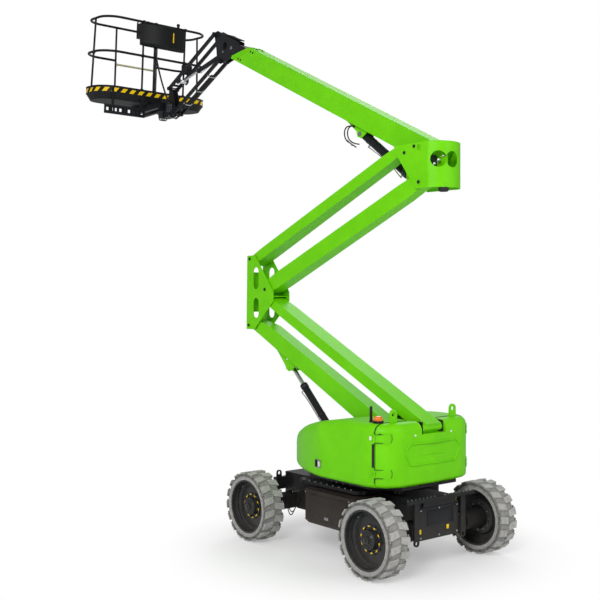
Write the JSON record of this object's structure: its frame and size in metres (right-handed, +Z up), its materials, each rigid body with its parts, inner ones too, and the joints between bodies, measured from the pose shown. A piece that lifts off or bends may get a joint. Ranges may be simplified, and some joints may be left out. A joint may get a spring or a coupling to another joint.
{
  "type": "articulating boom lift",
  "caption": "Self-propelled work platform with folding parallelogram risers, a sliding boom, a jib and a railed cage on a slewing turret.",
  "frame": {"origin": "on the ground, under the turret's slewing axis, midway between the axles", "axes": "+X forward towards the cage, +Y to the machine's left, +Z up"},
  "size_m": [7.4408, 2.21, 7.4969],
  "materials": {
    "tyre": "pale worn rubber with staggered lugs",
    "rim_paint": "satin near-black enamel",
    "chassis_paint": "satin near-black enamel",
    "side_box": "satin brownish black enamel",
    "counterweight": "smooth bright green enamel",
    "pin_steel": "turned and plated",
    "rod_chrome": "hard chromed and polished",
    "machinery": "dull dark castings, taken as a block",
    "amber_lens": "ribbed amber lens on a black base",
    "dark_paint": "satin charcoal enamel",
    "rail_paint": "satin charcoal powder coat",
    "floor_composite": "textured dark composite",
    "console_plastic": "moulded black plastic",
    "wear_pad": "pale nylon",
    "gate_paint": "pale grey-yellow enamel",
    "hood_paint": "smooth bright green enamel",
    "boom_paint": "smooth bright green enamel"
  },
  "bodies": {
    "chassis": {"chassis_frame": "chassis_paint", "side_box_left": "side_box", "side_box_right": "side_box", "rear_axle": "chassis_paint", "front_axle": "chassis_paint", "slew_ring": "chassis_paint", "rear_cover": "chassis_paint"},
    "steer_left": {"steer_knuckle_left": "chassis_paint"},
    "steer_right": {"steer_knuckle_right": "chassis_paint"},
    "wheel_front_left": {"tyre_front_left": "tyre", "rim_front_left": "rim_paint"},
    "wheel_front_right": {"tyre_front_right": "tyre", "rim_front_right": "rim_paint"},
    "wheel_rear_left": {"tyre_rear_left": "tyre", "rim_rear_left": "rim_paint"},
    "wheel_rear_right": {"tyre_rear_right": "tyre", "rim_rear_right": "rim_paint"},
    "turret": {"turret_frame": "chassis_paint", "turret_pins": "pin_steel", "counterweight_tail": "counterweight", "engine_block": "machinery", "tank_block": "machinery"},
    "door_left": {"hood_left": "hood_paint", "beacon": "amber_lens"},
    "door_right": {"hood_right": "hood_paint"},
    "lower_guide": {"lower_guide_link": "boom_paint"},
    "lower_riser": {"lower_riser_link": "boom_paint"},
    "lower_knuckle": {"lower_knuckle": "boom_paint", "lower_knuckle_pins": "pin_steel"},
    "riser_barrel": {"riser_cylinder_barrel": "boom_paint"},
    "riser_rod": {"riser_cylinder_rod": "rod_chrome"},
    "upper_main": {"upper_main_link": "boom_paint"},
    "upper_strut": {"upper_strut": "boom_paint"},
    "upper_knuckle": {"upper_knuckle": "boom_paint", "upper_knuckle_pins": "pin_steel"},
    "boom": {"main_boom": "boom_paint", "boom_pads": "wear_pad", "lift_eye_pin": "pin_steel"},
    "lift_barrel": {"lift_cylinder_barrel": "boom_paint"},
    "lift_rod": {"lift_cylinder_rod": "rod_chrome"},
    "inner_boom": {"inner_boom": "dark_paint"},
    "nose": {"boom_nose": "dark_paint", "nose_pins": "pin_steel"},
    "jib_lower": {"jib_lower_bars": "dark_paint"},
    "jib_upper": {"jib_upper_bars": "dark_paint"},
    "jib_barrel": {"jib_cylinder_barrel": "dark_paint"},
    "jib_rod": {"jib_cylinder_rod": "rod_chrome"},
    "jib_head": {"jib_head": "dark_paint", "head_pins": "pin_steel"},
    "cage": {"cage_bracket": "dark_paint", "cage_floor": "floor_composite", "cage_top_rail": "rail_paint", "cage_mid_rail": "rail_paint", "cage_posts": "rail_paint", "cage_console": "console_plastic", "cage_step": "dark_paint"},
    "gate": {"gate_bar": "gate_paint"}
  },
  "joints": [
    {"name": "turret_slew", "type": "hinge", "parent": "chassis", "child": "turret", "pos_m": [0, 0, 0.868], "axis": [0, 0, 1], "range_deg": [-177.5, 177.5]},
    {"name": "steer_left", "type": "hinge", "parent": "chassis", "child": "steer_left", "pos_m": [1.06, 0.6, 0.4195], "axis": [0, 0, 1], "range_deg": [-25, 25]},
    {"name": "steer_right", "type": "hinge", "parent": "chassis", "child": "steer_right", "pos_m": [1.06, -0.6, 0.4195], "axis": [0, 0, 1], "range_deg": [-25, 25]},
    {"name": "wheel_front_left_spin", "type": "hinge", "parent": "steer_left", "child": "wheel_front_left", "pos_m": [1.06, 0.862, 0.4195], "axis": [0, 1, 0], "continuous": true},
    {"name": "wheel_front_right_spin", "type": "hinge", "parent": "steer_right", "child": "wheel_front_right", "pos_m": [1.06, -0.862, 0.4195], "axis": [0, 1, 0], "continuous": true},
    {"name": "wheel_rear_left_spin", "type": "hinge", "parent": "chassis", "child": "wheel_rear_left", "pos_m": [-1.06, 0.862, 0.4195], "axis": [0, 1, 0], "continuous": true},
    {"name": "wheel_rear_right_spin", "type": "hinge", "parent": "chassis", "child": "wheel_rear_right", "pos_m": [-1.06, -0.862, 0.4195], "axis": [0, 1, 0], "continuous": true},
    {"name": "door_left_hinge", "type": "hinge", "parent": "turret", "child": "door_left", "pos_m": [-0.93, 0.72823, 1.07], "axis": [0, 0, 1], "range_deg": [0, 80]},
    {"name": "door_right_hinge", "type": "hinge", "parent": "turret", "child": "door_right", "pos_m": [-0.93, -0.72823, 1.07], "axis": [0, 0, -1], "range_deg": [0, 80]},
    {"name": "riser_lift", "type": "hinge", "parent": "turret", "child": "lower_riser", "pos_m": [-0.617, 0, 1.219], "axis": [0, -1, 0], "range_deg": [-16, 30]},
    {"name": "lower_guide_turn", "type": "hinge", "parent": "turret", "child": "lower_guide", "pos_m": [-1.049, 0, 1.534], "axis": [0, -1, 0], "range_deg": [-16, 30]},
    {"name": "lower_knuckle_level", "type": "hinge", "parent": "lower_riser", "child": "lower_knuckle", "pos_m": [2.18004, 0, 2.60138], "axis": [0, -1, 0], "range_deg": [-30, 16]},
    {"name": "riser_cylinder_turn", "type": "hinge", "parent": "turret", "child": "riser_barrel", "pos_m": [0.36, 0, 1.06], "axis": [0, -1, 0], "range_deg": [-20.86, 38.67]},
    {"name": "riser_cylinder_slide", "type": "slide", "parent": "riser_barrel", "child": "riser_rod", "axis": [0.7172, 0, 0.6969], "range_m": [-0.2489, 0.4631]},
    {"name": "upper_riser_turn", "type": "hinge", "parent": "lower_knuckle", "child": "upper_main", "pos_m": [1.81504, 0, 3.08538], "axis": [0, -1, 0], "range_deg": [-23.3, 12.66]},
    {"name": "upper_strut_turn", "type": "hinge", "parent": "lower_knuckle", "child": "upper_strut", "pos_m": [2.15704, 0, 3.50438], "axis": [0, -1, 0], "range_deg": [-23.3, 12.66]},
    {"name": "upper_knuckle_level", "type": "hinge", "parent": "upper_main", "child": "upper_knuckle", "pos_m": [-1.02351, 0, 4.24955], "axis": [0, -1, 0], "range_deg": [-12.66, 23.3]},
    {"name": "boom_lift", "type": "hinge", "parent": "upper_knuckle", "child": "boom", "pos_m": [-1.02351, -0.19, 4.63755], "axis": [0, -1, 0], "range_deg": [-16, 48]},
    {"name": "lift_cylinder_turn", "type": "hinge", "parent": "boom", "child": "lift_barrel", "pos_m": [0.2151, -0.19, 4.97663], "axis": [0, -1, 0], "range_deg": [-3.73, 1.58]},
    {"name": "lift_cylinder_slide", "type": "slide", "parent": "lift_barrel", "child": "lift_rod", "axis": [-0.7982, 0, -0.6024], "range_m": [-0.132, 0.3879]},
    {"name": "boom_telescope", "type": "slide", "parent": "boom", "child": "inner_boom", "axis": [0.8918, 0, 0.4524], "range_m": [0, 2.4]},
    {"name": "nose_level", "type": "hinge", "parent": "inner_boom", "child": "nose", "pos_m": [2.96721, -0.19, 6.59825], "axis": [0, -1, 0], "range_deg": [-48.5, 16.5]},
    {"name": "jib_lift", "type": "hinge", "parent": "nose", "child": "jib_lower", "pos_m": [3.295, -0.19, 6.483], "axis": [0, -1, 0], "range_deg": [-40, 50]},
    {"name": "jib_upper_turn", "type": "hinge", "parent": "nose", "child": "jib_upper", "pos_m": [3.415, -0.19, 6.895], "axis": [0, -1, 0], "range_deg": [-40.5, 50.5]},
    {"name": "jib_head_level", "type": "hinge", "parent": "jib_lower", "child": "jib_head", "pos_m": [4.58453, -0.19, 5.89804], "axis": [0, -1, 0], "range_deg": [-50.5, 40.5]},
    {"name": "jib_cylinder_turn", "type": "hinge", "parent": "nose", "child": "jib_barrel", "pos_m": [3.225, -0.19, 6.6], "axis": [0, -1, 0], "range_deg": [-35.68, 44.47]},
    {"name": "jib_cylinder_slide", "type": "slide", "parent": "jib_barrel", "child": "jib_rod", "axis": [0.9832, 0, -0.1824], "range_m": [-0.21, 0.2615]},
    {"name": "cage_rotate", "type": "hinge", "parent": "jib_head", "child": "cage", "pos_m": [4.81, -0.19, 6], "axis": [0, 0, 1], "range_deg": [-80, 80]},
    {"name": "gate_lift", "type": "slide", "parent": "cage", "child": "gate", "axis": [-0.0698, 0, 0.9976], "range_m": [0, 0.5]}
  ],
  "couplings": [
    {"joint": "steer_right", "follows": "steer_left", "ratio": 1},
    {"joint": "lower_guide_turn", "follows": "riser_lift", "ratio": 1},
    {"joint": "lower_knuckle_level", "follows": "riser_lift", "ratio": -1},
    {"joint": "riser_cylinder_turn", "follows": "riser_lift", "ratio": 1.2722},
    {"joint": "riser_cylinder_slide", "follows": "riser_lift", "m_per_rad": 0.8769},
    {"joint": "upper_riser_turn", "follows": "riser_lift", "ratio": -0.76},
    {"joint": "upper_strut_turn", "follows": "riser_lift", "ratio": -0.76},
    {"joint": "upper_knuckle_level", "follows": "riser_lift", "ratio": 0.76},
    {"joint": "lift_cylinder_turn", "follows": "boom_lift", "ratio": -0.0672},
    {"joint": "lift_cylinder_slide", "follows": "boom_lift", "m_per_rad": 0.4582},
    {"joint": "nose_level", "follows": "boom_lift", "ratio": -1},
    {"joint": "jib_upper_turn", "follows": "jib_lift", "ratio": 1},
    {"joint": "jib_head_level", "follows": "jib_lift", "ratio": -1},
    {"joint": "jib_cylinder_turn", "follows": "jib_lift", "ratio": 0.8794},
    {"joint": "jib_cylinder_slide", "follows": "jib_lift", "m_per_rad": 0.2951}
  ]
}
